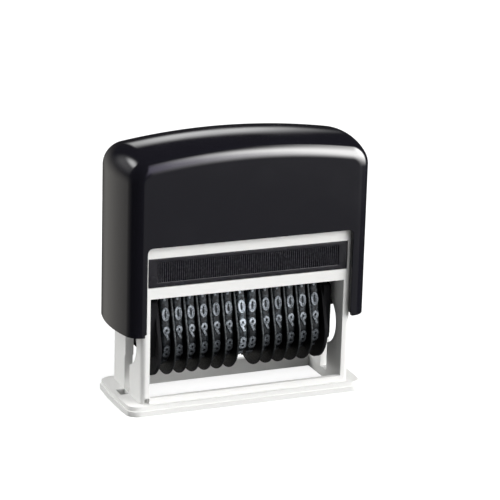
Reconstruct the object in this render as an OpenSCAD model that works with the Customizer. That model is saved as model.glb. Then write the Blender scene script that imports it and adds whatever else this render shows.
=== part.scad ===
// Self-inking number stamp: a black press cover on a white base frame, with a flip-over
// unit of number bands that rests upside down against an ink pad and turns over to print.
// Millimetres. X runs along the row of bands, Y from front to back, Z up. The origin is the
// middle of the base's underside.

/* [Number bands] */
// Number of bands side by side
band_count = 13; // [8:1:14]
// Distance from one band to the next
band_pitch = 3.1; // [2.9:0.1:3.4]
// Room between neighbouring bands, which holds a divider
band_gap = 0.9; // [0.7:0.1:1.1]
// Rubber thickness of a band, below its raised figures
band_wall = 0.75; // [0.6:0.05:0.9]
// How far the figures stand out of the band
figure_relief = 0.3; // [0.2:0.05:0.4]
// Radius of a wheel with its band, over the figures
wheel_reach = 6.6; // [6.2:0.1:7]
// Radius of the round dividers between the bands
divider_r = 8; // [7.6:0.1:8.2]
// The band after which the divider is left out
open_place = 7; // [1:1:12]
// Half the depth of a band where it runs over the print bridge
head_half_d = 3.6; // [3.2:0.1:3.8]
// Corner radius of a band at the print bridge
head_corner_r = 1.4; // [1.2:0.1:1.6]
// Notches round a band wheel
cog_count = 12; // [10:1:14]
// Radius of the notches between a wheel's cogs
cog_notch_r = 0.75; // [0.5:0.05:0.9]

/* [Flip motion] */
// How far the cover travels when it is pressed
press_travel = 16; // [14:0.5:18]
// From the pivot shaft to the printing figures
print_reach = 7.2; // [7:0.1:7.6]
// From the pivot shaft down to the wheel shaft, at rest
wheel_drop = 8.4; // [8.2:0.1:8.6]
// From the pivot shaft down to the middle of the round dividers, at rest
divider_drop = 9.4; // [9.2:0.1:9.6]
// Radius of the pivot shaft
pivot_r = 1; // [0.8:0.05:1.1]
// Radius of the wheel shaft
wheel_shaft_r = 1.5; // [1.2:0.1:1.8]
// Radius of the cam lugs on the side plates
lug_r = 1.05; // [0.9:0.05:1.1]
// Height of the printing figures above the paper when pressed
print_gap = 0.1; // [0.05:0.05:0.2]

/* [Number unit] */
// Thickness of the round side plates beside the outermost bands
plate_t = 0.8; // [0.6:0.1:1]
// Thickness of the carriers outside those plates
carrier_t = 1.4; // [1.2:0.1:1.6]
// Half the width of the carriers
carrier_half_w = 5.6; // [5:0.1:6]
// Thickness of the clips on the wheel shaft
clip_t = 0.5; // [0.4:0.1:0.6]
// Radius of the clips on the wheel shaft
clip_r = 2.6; // [2.2:0.1:3]
// Radius of the sleeves that centre the unit in the frame
sleeve_r = 1.6; // [1.5:0.1:2]
// Thickness of the spring leaves that click into the wheels
leaf_t = 0.25; // [0.2:0.05:0.3]
// From the pivot shaft up to the print bridge, where the spring leaves are held
bridge_room = 1.9; // [1.5:0.1:2.2]
// Wall of a wheel's hub
hub_wall = 1.5; // [1:0.1:2]

/* [Base frame] */
// Thickness of the base flange
flange_t = 2.3; // [2:0.1:3]
// How far the flange stands back from the cover's ends
flange_end_in = 0.85; // [0.6:0.05:1]
// How far the flange reaches past the cover's front and back
flange_lip = 0.2; // [0.1:0.1:1]
// Thickness of the frame's side walls
side_wall = 2; // [1.8:0.1:2.2]
// Thickness of the frame's front and back walls
face_wall = 1.1; // [1:0.1:1.3]
// Room between the unit's carriers and the frame's side walls
side_room = 1.35; // [1.2:0.05:1.6]
// Height of the sill under the front and back windows
sill_z = 3.7; // [3.2:0.1:3.9]
// Height of the crossbar between window and pad slot
crossbar_h = 2.6; // [2.2:0.1:2.8]
// Thickness of the deck over the pad slot
deck_t = 1.35; // [1.2:0.05:1.8]
// Height of the rim round the deck
deck_rim = 2; // [1.5:0.1:2.5]
// Corner radius of the frame's walls
frame_corner_r = 1.2; // [0.8:0.1:1.6]
// Half the width of the guide slots at their foot
slot_half_w = 1.7; // [1.4:0.1:1.9]
// Radius of the half-moon pocket that the cam lug swings through
cam_r = 6.1; // [5.9:0.1:6.4]

/* [Ink pad] */
// Height of the pad tray
tray_h = 6.7; // [6:0.1:7.2]
// Thickness of the tray's ceiling
tray_roof = 1.35; // [1:0.05:1.6]
// Thickness of the tray's side walls
tray_wall = 1.5; // [1.2:0.1:1.8]
// Thickness of the tray's front panel
panel_t = 0.9; // [0.8:0.1:1]
// Height of the panel's smooth upper lip
lip_top = 0.9; // [0.6:0.1:1.2]
// Height of the panel's smooth lower lip
lip_bottom = 1.1; // [0.8:0.1:1.4]
// Width of the panel's smooth ends
lip_side = 2.1; // [1.5:0.1:3]
// Depth of the ribbed field in the panel
rib_recess = 0.4; // [0.2:0.1:0.5]
// How far the panel reaches past the slot at each end
panel_lap = 0.5; // [0.3:0.1:0.8]
// From the tray's underside up to the felt
felt_inset = 0.75; // [0.5:0.05:1]

/* [Cover] */
// Thickness of the cover's end walls and roof
cover_wall = 1.3; // [1.2:0.1:1.4]
// Thickness of the cover's front and back walls
cover_face_wall = 1.2; // [1:0.1:1.4]
// Thickness of the rings and ribs under the roof
rib_t = 0.8; // [0.6:0.1:1.2]
// Radius of the crowned top, seen from the front
crown_r = 160; // [120:5:200]
// Radius of the cover's upper corners, seen from the front
shoulder_r = 6.4; // [6:0.1:8]
// Radius of the edges round the front and back faces
edge_r = 3.5; // [3:0.1:3.8]
// How far the ends and the top bulge between those edges
bulge = 1; // [0.6:0.1:1.2]
// Room between the yoke's top and the cover's roof
head_room = 3.6; // [3.4:0.1:4.5]
// Half the width of the windows in the cover's front and back
window_half_w = 25.2; // [25:0.1:25.6]
// Upper corner radius of those windows
window_corner_r = 1.2; // [0.8:0.1:2]

/* [Yoke and springs] */
// Thickness of the yoke that hangs in the cover
yoke_t = 1.4; // [1.2:0.1:1.5]
// Half the width of the yoke's arms
arm_half_w = 5; // [4:0.5:6]
// Radius of the arms' lower ends, round the pivot shaft
arm_end_r = 2.4; // [2:0.1:2.8]
// Distance of each return spring from the middle
spring_x = 13; // [10:1:16]
// Radius of a return spring, to the middle of its wire
spring_r = 2.5; // [2.3:0.1:2.7]
// Radius of the spring wire
wire_r = 0.3; // [0.2:0.05:0.3]
// Turns of a return spring
spring_turns = 7.5; // [5.5:1:8.5]
// Room between a return spring and the ring or post that guides it
spring_room = 0.4; // [0.3:0.1:0.6]

/* [Clearances] */
// Radial clearance of a shaft that turns in its bore
running_fit = 0.05; // [0.03:0.01:0.08]
// Radial clearance of a shaft that is fixed in its bore
fixed_fit = 0.02; // [0.01:0.01:0.03]
// Sliding clearance between flat faces
slide_fit = 0.2; // [0.15:0.05:0.25]
// Clearance between curved or soft pieces
soft_gap = 0.3; // [0.25:0.05:0.35]

/* [Hidden] */
$fn = 64;
over = 1; // how far a cutting tool reaches past what it cuts

// Number unit along X
band_w = band_pitch - band_gap;
divider_t = band_gap - 2 * slide_fit;
pack_half = band_count * band_pitch / 2;
plate_in_x = pack_half + slide_fit;
plate_out_x = plate_in_x + plate_t;
carrier_out_x = plate_out_x + carrier_t;

// Frame and cover along X
frame_in_x = carrier_out_x + side_room;
frame_out_x = frame_in_x + side_wall;
arm_in_x = frame_out_x + soft_gap;
arm_out_x = arm_in_x + yoke_t;
arm_room = 1.55; // from the yoke's arms to the cover's end walls
rim_half_w = arm_out_x + arm_room + cover_wall;
flange_half_w = rim_half_w - flange_end_in;

// Frame and cover along Y
divider_room = 0.5; // from the dividers to the frame's front and back walls
frame_in_y = divider_r + divider_room;
frame_out_y = frame_in_y + face_wall;
cover_half_d = frame_out_y + slide_fit + cover_face_wall;
flange_half_d = cover_half_d + flange_lip;

// Heights of the motion
rim_gap = 0.45; // left under the cover's rim when it is pressed
rim_z = flange_t + press_travel + rim_gap;
pivot_z = print_reach + print_gap + press_travel;
wheel_z = pivot_z - wheel_drop;
divider_z = pivot_z - divider_drop;
lug_drop = press_travel / 4;
cam_z = pivot_z - press_travel / 2;
figures_z = pivot_z + print_reach;
head_z = figures_z - figure_relief;
band_r = wheel_reach - figure_relief;
cog_r = band_r - band_wall - soft_gap;
bridge_z = pivot_z + pivot_r + bridge_room;

// Strip of the spring leaves, under the bridge
leaf_room = 0.5; // from the pivot shaft to the leaves
leaf_y = pivot_r + leaf_room;
leaf_strip_h = 1;

// Heights of pad and frame
felt_z = figures_z + soft_gap;
tray_z = felt_z - felt_inset;
tray_fit = slide_fit / 2;
ring_r = spring_r + wire_r + spring_room;
crossbar_top_z = tray_z - tray_fit;
opening_top_z = crossbar_top_z - crossbar_h;
tray_top_z = tray_z + tray_h;
slot_top_z = tray_top_z + tray_fit;
deck_z = slot_top_z + deck_t;
frame_top_z = deck_z + deck_rim;

// Heights of cover and yoke
window_lap = 0.5; // how far the cover's front reaches down over the frame at rest
window_top_z = frame_top_z - window_lap;
yoke_room = 0.4; // left between the yoke and the frame when the cover is pressed
yoke_z = frame_top_z + press_travel + yoke_room;
yoke_top_z = yoke_z + yoke_t;
crown_z = yoke_top_z + head_room + cover_wall;
spring_top_z = roof_z(spring_x) - soft_gap;

// Underside of the cover's roof above a place along X
function roof_z(x) = crown_z - cover_wall - x * x / (2 * crown_r);

function two_digits(i) = str(i < 10 ? "0" : "", i);
function band_x(i) = (i - (band_count + 1) / 2) * band_pitch;

white_plastic = "#eeeeec";
black_plastic = "#232327";
black_rubber = "#17191b";
grey_plastic = "#4a4d50";
steel = "#a9adb0";

// ---------- helpers ----------

// Extrudes a shape drawn in (Y, Z) along X, evenly about the middle
module along_x(length) {
    rotate([90, 0, 90])
        linear_extrude(length, center = true)
            children();
}

// A block from its lowest to its highest corner
module block(low, high) {
    translate(low)
        cube(high - low);
}

// A rod along X through a point of the (Y, Z) plane
module rod(r, length, z, x = 0) {
    translate([x, 0, z])
        rotate([0, 90, 0])
            cylinder(r = r, h = length, center = true);
}

// Rounded rectangle about the origin
module rounded_plan(half_w, half_d, r) {
    square([2 * (half_w - r), 2 * half_d], center = true);
    square([2 * half_w, 2 * (half_d - r)], center = true);
    for (sx = [-1, 1], sy = [-1, 1])
        translate([sx * (half_w - r), sy * (half_d - r)])
            circle(r);
}

// Rounded rectangle whose two ends bulge outwards
module bowed_plan(half_w, half_d, r, bow) {
    bow_r = half_d * half_d / (2 * bow);
    intersection() {
        rounded_plan(half_w, half_d, r);
        translate([half_w - bow_r, 0])
            circle(bow_r, $fn = 256);
        translate([bow_r - half_w, 0])
            circle(bow_r, $fn = 256);
    }
}

// Outline of a loop that runs round a wheel and over a narrow head above it, in (Y, Z)
module loop_outline(middle_z, wheel_r, half_d, corner_r, top_z) {
    corner_y = half_d - corner_r;
    corner_z = top_z - corner_r;
    rise = corner_z - middle_z;
    lean = atan2(rise, corner_y) - acos((wheel_r - corner_r) / norm([corner_y, rise]));
    wheel_touch = [wheel_r * cos(lean), middle_z + wheel_r * sin(lean)];
    head_touch = [corner_y + corner_r * cos(lean), corner_z + corner_r * sin(lean)];
    translate([0, middle_z])
        circle(wheel_r);
    for (s = [-1, 1])
        translate([s * corner_y, corner_z])
            circle(corner_r);
    polygon([
        wheel_touch, head_touch, [corner_y, top_z],
        [-corner_y, top_z], [-head_touch.x, head_touch.y], [-wheel_touch.x, wheel_touch.y]
    ]);
}

// ---------- base frame ----------

// Outline of the guide slot and its half-moon pocket, in (Y, Z)
module cam_slot_outline() {
    narrow = pivot_r + slide_fit;
    foot_rise = 1.4; // the wide foot of the slot runs this far into the pocket
    slot_foot_top = cam_z - cam_r + foot_rise;
    stop_z = pivot_z + slide_fit;
    translate([-slot_half_w, flange_t])
        square([2 * slot_half_w, slot_foot_top - flange_t]);
    translate([-narrow, flange_t])
        square([2 * narrow, stop_z - flange_t]);
    translate([0, stop_z])
        circle(narrow);
    intersection() {
        translate([0, cam_z])
            circle(cam_r);
        translate([-cam_r, cam_z - cam_r])
            square([cam_r, 2 * cam_r]);
    }
}

module flange() {
    step_z = flange_t * 0.55;
    step_in = 0.35;
    flange_corner = 3.5;
    flange_bow = 0.6;
    linear_extrude(step_z)
        bowed_plan(flange_half_w, flange_half_d, flange_corner, flange_bow);
    linear_extrude(flange_t)
        bowed_plan(flange_half_w - step_in, flange_half_d - step_in, flange_corner - step_in, flange_bow);
}

module base_frame() {
    post_r = spring_r - wire_r - spring_room;
    pocket = 2.1; // reach of the flange's pockets at the foot of the slots
    foot_notch = 1.2; // width and depth of the small notch at the foot of two posts
    notch_h = 1.35;
    panel_room = slide_fit + panel_lap;
    color(white_plastic)
    difference() {
        union() {
            flange();
            linear_extrude(frame_top_z)
                rounded_plan(frame_out_x, frame_out_y, frame_corner_r);
        }
        // hollow of the cage, open to the paper
        block([-frame_in_x, -frame_in_y, -over], [frame_in_x, frame_in_y, slot_top_z]);
        // front and back windows
        block([-frame_in_x, -frame_out_y - over, sill_z],
              [frame_in_x, frame_out_y + over, opening_top_z]);
        // slot that the pad tray slides through, with a rebate for its front panel
        block([-frame_in_x, -frame_out_y - over, crossbar_top_z],
              [frame_in_x, frame_out_y + over, slot_top_z]);
        block([-frame_in_x - panel_room, -frame_out_y - over, crossbar_top_z],
              [frame_in_x + panel_room, -frame_out_y + panel_t + slide_fit, slot_top_z]);
        // well for the return springs, with a post left standing in each
        difference() {
            block([-frame_in_x, -frame_in_y, deck_z], [frame_in_x, frame_in_y, frame_top_z + over]);
            for (s = [-1, 1])
                translate([s * spring_x, 0, deck_z - over])
                    cylinder(r = post_r, h = deck_rim + over);
        }
        // guide slots through both side walls, and the pockets at their foot
        along_x(2 * (frame_out_x + over))
            cam_slot_outline();
        for (s = [-1, 1])
            translate([s * (frame_out_x + pocket / 2), 0, flange_t / 2])
                cube([pocket, 2 * slot_half_w, flange_t + 2 * over], center = true);
        // notches at the foot of the front left and the back right post
        for (s = [-1, 1])
            translate([s * (frame_in_x + foot_notch / 2), s * frame_out_y, flange_t + notch_h / 2])
                cube([foot_notch, 2 * foot_notch, notch_h], center = true);
    }
}

// ---------- ink pad ----------

// Half the width and depth of the tray's hollow
hollow_half_w = frame_in_x - slide_fit - tray_wall;
hollow_half_d = frame_in_y - 0.5;

module pad_tray() {
    tray_half_w = frame_in_x - slide_fit;
    panel_half_w = frame_in_x + panel_lap;
    panel_inset = 0.05; // behind the frame's front
    front_y = -frame_out_y + panel_inset;
    panel_back_y = front_y + panel_t;
    back_y = frame_out_y - slide_fit;
    recess_half_w = panel_half_w - lip_side;
    color(black_plastic)
    difference() {
        union() {
            block([-tray_half_w, panel_back_y, tray_z], [tray_half_w, back_y, tray_top_z]);
            block([-panel_half_w, front_y, tray_z], [panel_half_w, panel_back_y, tray_top_z]);
        }
        // hollow for the felt
        block([-hollow_half_w, -hollow_half_d, tray_z - over],
              [hollow_half_w, hollow_half_d, tray_top_z - tray_roof]);
        // the back wall ends level with the felt, so that the tray slides out over the figures
        block([-hollow_half_w, 0, tray_z - over], [hollow_half_w, back_y + over, felt_z]);
        // field of ribs
        block([-recess_half_w, front_y - over, tray_z + lip_bottom],
              [recess_half_w, front_y + rib_recess, tray_top_z - lip_top]);
    }
}

module ink_felt() {
    color(black_rubber)
        block([slide_fit - hollow_half_w, slide_fit - hollow_half_d, felt_z],
              [hollow_half_w - slide_fit, hollow_half_d - slide_fit, tray_top_z - tray_roof]);
}

// ---------- return springs ----------

// Height of the wire's centre after t turns, with one closed turn at each end
function wire_z(t, length) =
    wire_r + 2 * wire_r * min(t, 1)
    + (length - 6 * wire_r) * min(max((t - 1) / (spring_turns - 2), 0), 1)
    + 2 * wire_r * max(0, t - spring_turns + 1);

module coil_spring(length) {
    steps = 12; // rings of points in a turn
    sides = 6;
    rings = floor(spring_turns * steps);
    points = [
        for (k = [0:rings], j = [0:sides - 1])
            let (turn = 360 * k / steps, round = 360 * j / sides, reach = spring_r + wire_r * cos(round))
            [reach * cos(turn), reach * sin(turn), wire_z(k / steps, length) + wire_r * sin(round)]
    ];
    skin = [
        for (k = [0:rings - 1], j = [0:sides - 1])
            let (next = (j + 1) % sides, low = k * sides, high = low + sides)
            each [[low + j, low + next, high + next], [low + j, high + next, high + j]]
    ];
    start_cap = [for (j = [sides - 1:-1:0]) j];
    end_cap = [for (j = [0:sides - 1]) rings * sides + j];
    polyhedron(points, concat(skin, [start_cap, end_cap]));
}

module return_spring(side) {
    seat = 0.05; // clearance under the lowest turn
    color(steel)
        translate([side * spring_x, 0, deck_z + seat])
            coil_spring(spring_top_z - deck_z - seat);
}

// ---------- cover ----------

// The cover is a strip swept over an arch. A station of the arch is [x, z, angle], where
// angle is the direction of the outward normal: 0 at the right end, 90 on top.
shoulder_x = rim_half_w - shoulder_r;
shoulder_z = crown_z - crown_r + sqrt(pow(crown_r - shoulder_r, 2) - shoulder_x * shoulder_x);
crown_angle = asin((shoulder_z - crown_z + crown_r) / (crown_r - shoulder_r));

function right_arch(low_z) = concat(
    [[rim_half_w, low_z, 0]],
    [
        for (k = [0:8])
            let (a = crown_angle * k / 8)
            [shoulder_x + shoulder_r * cos(a), shoulder_z + shoulder_r * sin(a), a]
    ],
    [
        for (k = [1:8])
            let (a = crown_angle + (90 - crown_angle) * k / 8)
            [crown_r * cos(a), crown_z - crown_r + crown_r * sin(a), a]
    ]
);
function arch(low_z) =
    let (right = right_arch(low_z), last = len(right) - 1)
    concat(
        [for (k = [0:last]) [-right[k].x, right[k].y, 180 - right[k].z]],
        [for (k = [last - 1:-1:0]) right[k]]
    );

// Section of the strip: [y, inset] from the front edge to the back edge. The middle bulges
// and the edges are round.
function strip_section(half_d, r, inset) =
    let (
        flat = half_d - r,
        edge = [for (k = [0:5]) let (a = 18 * k) [flat + r * sin(a), inset + bulge + r * (1 - cos(a))]],
        front = [for (k = [5:-1:0]) [-edge[k].x, edge[k].y]],
        middle = [for (k = [-3:3]) [flat * k / 4, inset + bulge * pow(k / 4, 2)]]
    )
    concat(front, middle, edge);

module arch_solid(half_d, r, inset, low_z) {
    stations = arch(low_z);
    section = strip_section(half_d, r, inset);
    n = len(stations);
    m = len(section);
    points = [
        for (s = stations, p = section)
            [s.x - p.y * cos(s.z), p.x, s.y - p.y * sin(s.z)]
    ];
    skin = [
        for (i = [0:n - 2], j = [0:m - 2])
            [i * m + j, i * m + j + 1, (i + 1) * m + j + 1, (i + 1) * m + j]
    ];
    front_face = [for (i = [0:n - 1]) i * m];
    back_face = [for (i = [n - 1:-1:0]) i * m + m - 1];
    under = concat([0], [for (j = [0:m - 1]) (n - 1) * m + j], [for (j = [m - 1:-1:1]) j]);
    polyhedron(points, concat(skin, [front_face, back_face, under]));
}

// Window that is open at the rim, cut through front and back
module cover_windows() {
    rotate([90, 0, 0])
        linear_extrude(2 * (cover_half_d + over), center = true)
            union() {
                translate([-window_half_w, rim_z - over])
                    square([2 * window_half_w, window_top_z - window_corner_r - rim_z + over]);
                translate([-window_half_w + window_corner_r, rim_z])
                    square([2 * (window_half_w - window_corner_r), window_top_z - rim_z]);
                for (s = [-1, 1])
                    translate([s * (window_half_w - window_corner_r), window_top_z - window_corner_r])
                        circle(window_corner_r, $fn = 32);
            }
}

module cover() {
    rim_notch = [0.4, 0.75]; // width and height of the step at the foot of each window edge
    notch_over = 0.02; // the notches' cutters reach this far into the window
    rib_x = 19;
    rib_half_d = 4;
    root = cover_wall / 2; // how far rings and ribs go into the roof
    ring_z = yoke_z + soft_gap;
    ring_h = roof_z(spring_x) + root - ring_z;
    color(black_plastic)
    union() {
        difference() {
            arch_solid(cover_half_d, edge_r, 0, rim_z);
            arch_solid(cover_half_d - cover_face_wall, edge_r - cover_face_wall, cover_wall, rim_z - over);
            cover_windows();
            for (sx = [-1, 1])
                translate([sx * (window_half_w + rim_notch.x / 2), 0, rim_z])
                    cube([rim_notch.x + notch_over, 2 * (cover_half_d + over), 2 * rim_notch.y],
                         center = true);
        }
        // rings that hold the return springs, and ribs that the yoke is pressed against
        for (s = [-1, 1]) {
            translate([s * spring_x, 0, ring_z])
                difference() {
                    cylinder(r = ring_r + rib_t, h = ring_h, $fn = 32);
                    translate([0, 0, -over])
                        cylinder(r = ring_r, h = ring_h + 2 * over, $fn = 32);
                }
            block([s * rib_x - rib_t, -rib_half_d, yoke_top_z],
                  [s * rib_x + rib_t, rib_half_d, roof_z(rib_x) + root]);
        }
    }
}

// ---------- yoke ----------

// The yoke seen from the front: a bracket over the frame, with its upper corners round about
// the same centres as the cover's shoulders
module yoke_outline() {
    bow_at_arms = bulge * pow(arm_half_w / (cover_half_d - edge_r), 2);
    corner_r = shoulder_r - cover_wall - bow_at_arms - soft_gap;
    difference() {
        intersection() {
            union() {
                translate([-arm_out_x, 0])
                    square([2 * arm_out_x, shoulder_z]);
                translate([-shoulder_x, 0])
                    square([2 * shoulder_x, yoke_top_z]);
                for (s = [-1, 1])
                    translate([s * shoulder_x, shoulder_z])
                        circle(corner_r);
            }
            translate([-arm_out_x, 0])
                square([2 * arm_out_x, yoke_top_z]);
        }
        translate([-arm_in_x, -over])
            square([2 * arm_in_x, yoke_z + over]);
    }
}

module slide_yoke() {
    hole_r = ring_r + rib_t + slide_fit;
    arm_taper_h = 9; // from the pivot shaft up to the arms' full width
    color(grey_plastic)
    difference() {
        intersection() {
            rotate([90, 0, 0])
                linear_extrude(2 * arm_half_w, center = true)
                    yoke_outline();
            // seen from the side: arms that narrow to round ends
            along_x(2 * (arm_out_x + over)) {
                translate([0, pivot_z])
                    circle(arm_end_r);
                polygon([
                    [-arm_end_r, pivot_z], [arm_end_r, pivot_z], [arm_half_w, pivot_z + arm_taper_h],
                    [arm_half_w, yoke_top_z], [-arm_half_w, yoke_top_z], [-arm_half_w, pivot_z + arm_taper_h]
                ]);
            }
        }
        rod(pivot_r + running_fit, 2 * (arm_out_x + over), pivot_z);
        for (s = [-1, 1])
            translate([s * spring_x, 0, yoke_z - over])
                cylinder(r = hole_r, h = yoke_t + 2 * over);
    }
}

// ---------- number unit ----------

// A round plate beside the outermost band, with the carrier that holds both shafts and the cam lug
module side_plate(side) {
    edge_inset = 0.2; // the plates stand back from the dividers' edges and the bands' heads
    head_drop = 0.4; // and from the heads' tops
    lug_inset = 0.4; // the lugs end inside the frame's side walls
    carrier_corner = 1;
    carrier_foot = 3.2; // from the wheel shaft down to the carrier's lower edge
    carrier_top = 2; // from the pivot shaft up to its upper edge
    carrier_half_h = (wheel_drop + carrier_foot + carrier_top) / 2;
    plate_mid_x = (plate_in_x + plate_out_x) / 2;
    lug_end_x = frame_out_x - lug_inset;
    color(black_plastic)
    difference() {
        union() {
            translate([side * plate_mid_x, 0, 0])
                along_x(plate_t)
                    loop_outline(divider_z, divider_r - edge_inset, head_half_d - edge_inset,
                                 head_corner_r, head_z - head_drop);
            translate([side * (plate_mid_x + carrier_out_x) / 2, 0, wheel_z - carrier_foot + carrier_half_h])
                along_x(carrier_out_x - plate_mid_x)
                    rounded_plan(carrier_half_w, carrier_half_h, carrier_corner);
            rod(lug_r, lug_end_x - plate_mid_x, pivot_z - lug_drop, side * (lug_end_x + plate_mid_x) / 2);
        }
        rod(pivot_r + fixed_fit, 2 * (carrier_out_x + over), pivot_z);
        rod(wheel_shaft_r + fixed_fit, 2 * (carrier_out_x + over), wheel_z);
    }
}

module wheel_shaft() {
    color(steel)
        rod(wheel_shaft_r, 2 * (carrier_out_x + clip_t), wheel_z);
}

module shaft_clips() {
    color(steel)
    for (s = [-1, 1])
        difference() {
            rod(clip_r, clip_t, wheel_z, s * (carrier_out_x + clip_t / 2));
            rod(wheel_shaft_r + fixed_fit, clip_t + 2 * over, wheel_z, s * (carrier_out_x + clip_t / 2));
        }
}

module pivot_shaft() {
    end_inset = 0.1; // the shaft ends inside the yoke's arms
    color(steel)
        rod(pivot_r, 2 * (arm_out_x - end_inset), pivot_z);
}

module pivot_sleeves() {
    length = side_room - soft_gap;
    color(black_plastic)
    for (s = [-1, 1])
        difference() {
            rod(sleeve_r, length, pivot_z, s * (carrier_out_x + length / 2));
            rod(pivot_r + fixed_fit, length + 2 * over, pivot_z, s * (carrier_out_x + length / 2));
        }
}

fin_inset = 0.2; // the dividers and the bridge's fins stand back from the bands' faces by this much

module print_bridge() {
    band_slack = 0.1; // between a band and the bridge
    bridge_half_d = head_half_d - band_wall - band_slack;
    bridge_top_z = head_z - band_wall - band_slack;
    bridge_corner = head_corner_r - band_wall;
    fin_half_d = head_half_d - fin_inset;
    fin_top_z = head_z - fin_inset;
    color(grey_plastic) {
        along_x(2 * plate_in_x)
            bridge_section(bridge_half_d, bridge_corner, bridge_top_z);
        for (i = [1:band_count - 1])
            translate([band_x(i) + band_pitch / 2, 0, 0])
                along_x(divider_t)
                    bridge_section(fin_half_d, head_corner_r, fin_top_z);
    }
}

// Thin round plates between the bands, held by both shafts and by the bridge above them
module dividers() {
    color(black_plastic)
    difference() {
        for (i = [1:band_count - 1])
            if (i != open_place)
                translate([band_x(i) + band_pitch / 2, 0, 0])
                    along_x(divider_t)
                        loop_outline(divider_z, divider_r, head_half_d - fin_inset, head_corner_r,
                                     head_z - fin_inset);
        block([-pack_half, -divider_r, bridge_z - fixed_fit], [pack_half, divider_r, figures_z]);
        block([-pack_half, leaf_y - slide_fit, bridge_z - leaf_strip_h - slide_fit],
              [pack_half, leaf_y + leaf_t + slide_fit, figures_z]);
        rod(pivot_r + fixed_fit, 2 * pack_half, pivot_z);
        rod(wheel_shaft_r + fixed_fit, 2 * pack_half, wheel_z);
    }
}

// Section of the bridge: square below and round at its upper corners
module bridge_section(half_d, corner_r, top_z) {
    translate([-half_d, bridge_z])
        square([2 * half_d, top_z - corner_r - bridge_z]);
    translate([corner_r - half_d, bridge_z])
        square([2 * (half_d - corner_r), top_z - bridge_z]);
    for (s = [-1, 1])
        translate([s * (half_d - corner_r), top_z - corner_r])
            circle(corner_r);
}

// A strip under the bridge with one spring leaf for each wheel
module detent_comb() {
    leaf_inset = 0.4; // a leaf is narrower than its band by this much on each side
    foot_room = 0.1; // from the leaves' feet to the cogs
    leaf_w = band_w - 2 * leaf_inset;
    leaf_foot_z = wheel_z + cog_r + foot_room;
    color(steel) {
        block([-pack_half, leaf_y, bridge_z - leaf_strip_h], [pack_half, leaf_y + leaf_t, bridge_z]);
        for (i = [1:band_count])
            block([band_x(i) - leaf_w / 2, leaf_y, leaf_foot_z],
                  [band_x(i) + leaf_w / 2, leaf_y + leaf_t, bridge_z - leaf_strip_h / 2]);
    }
}

module band(i) {
    color(black_rubber)
        translate([band_x(i), 0, 0])
            along_x(band_w)
                difference() {
                    loop_outline(wheel_z, band_r, head_half_d, head_corner_r, head_z);
                    loop_outline(wheel_z, band_r - band_wall, head_half_d - band_wall,
                                 head_corner_r - band_wall, head_z - band_wall);
                }
}

module wheel(i) {
    hub_w = band_w + slide_fit;
    hub_r = wheel_shaft_r + hub_wall;
    color(grey_plastic)
        translate([band_x(i), 0, 0])
            difference() {
                union() {
                    along_x(band_w)
                        difference() {
                            translate([0, wheel_z])
                                circle(cog_r);
                            for (k = [1:cog_count])
                                translate([0, wheel_z])
                                    rotate(360 * k / cog_count)
                                        translate([0, cog_r + cog_notch_r / 3])
                                            circle(cog_notch_r, $fn = 24);
                        }
                    rod(hub_r, hub_w, wheel_z);
                }
                rod(wheel_shaft_r + running_fit, band_pitch + over, wheel_z);
            }
}

// ---------- the pieces ----------

base_frame();
pad_tray();
ink_felt();
return_spring(-1);  // return_spring_left
return_spring(1);  // return_spring_right
cover();
slide_yoke();
side_plate(-1);  // left_side_plate
side_plate(1);  // right_side_plate
wheel_shaft();
shaft_clips();
pivot_shaft();
pivot_sleeves();
print_bridge();
dividers();
detent_comb();
for (i = [1:band_count])
    band(i);
for (i = [1:band_count])
    wheel(i);
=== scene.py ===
"""Looks of a self-inking number stamp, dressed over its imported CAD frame.

X runs along the row of bands, Y from front to back and Z up, with the origin under the middle
of the base. Sizes are named in millimetres and become metres where a mesh is made. What the
CAD frame fixes is read from it, so a piece lies where its node lies.
"""

import logging
from dataclasses import dataclass, field
from enum import Enum
from math import acos, atan2, cos, hypot, pi, radians, sin, sqrt, tan
from typing import Sequence, Union

import bpy
import bmesh
import numpy as np
from mathutils import Matrix, Vector


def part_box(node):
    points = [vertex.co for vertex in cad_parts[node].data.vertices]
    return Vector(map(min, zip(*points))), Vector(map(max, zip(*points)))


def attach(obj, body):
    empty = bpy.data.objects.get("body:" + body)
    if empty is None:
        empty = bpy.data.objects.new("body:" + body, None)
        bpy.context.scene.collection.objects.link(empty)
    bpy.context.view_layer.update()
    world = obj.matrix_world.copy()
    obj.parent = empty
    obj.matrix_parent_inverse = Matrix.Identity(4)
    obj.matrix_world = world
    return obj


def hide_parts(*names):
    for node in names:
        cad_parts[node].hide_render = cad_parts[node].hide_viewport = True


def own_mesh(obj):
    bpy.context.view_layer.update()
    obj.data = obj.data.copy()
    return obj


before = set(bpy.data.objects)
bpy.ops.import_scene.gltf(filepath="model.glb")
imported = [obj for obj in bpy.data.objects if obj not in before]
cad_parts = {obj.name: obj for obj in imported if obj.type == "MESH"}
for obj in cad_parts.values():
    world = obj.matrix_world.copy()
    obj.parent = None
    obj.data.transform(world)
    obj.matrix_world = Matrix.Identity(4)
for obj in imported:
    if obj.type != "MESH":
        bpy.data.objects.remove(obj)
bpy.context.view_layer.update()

MM = 0.001
log = logging.getLogger("number_stamp")

Colour = tuple[float, float, float]
Value = Union[float, bpy.types.NodeSocket]


# ---------- geometry ----------


def arc(centre: tuple[float, float], radii: tuple[float, float], start: float, end: float,
        count: int) -> np.ndarray:
    """Points of an elliptical arc, centre + (a cos t, b sin t).

    Args:
        centre: Middle of the ellipse.
        radii: Half axes a and b.
        start: Angle t of the first point, in degrees.
        end: Angle t of the last point, in degrees.
        count: Number of points.

    Returns:
        Array of count x 2.
    """
    turn = np.radians(np.linspace(start, end, count))
    return np.column_stack([centre[0] + radii[0] * np.cos(turn),
                            centre[1] + radii[1] * np.sin(turn)])


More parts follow.
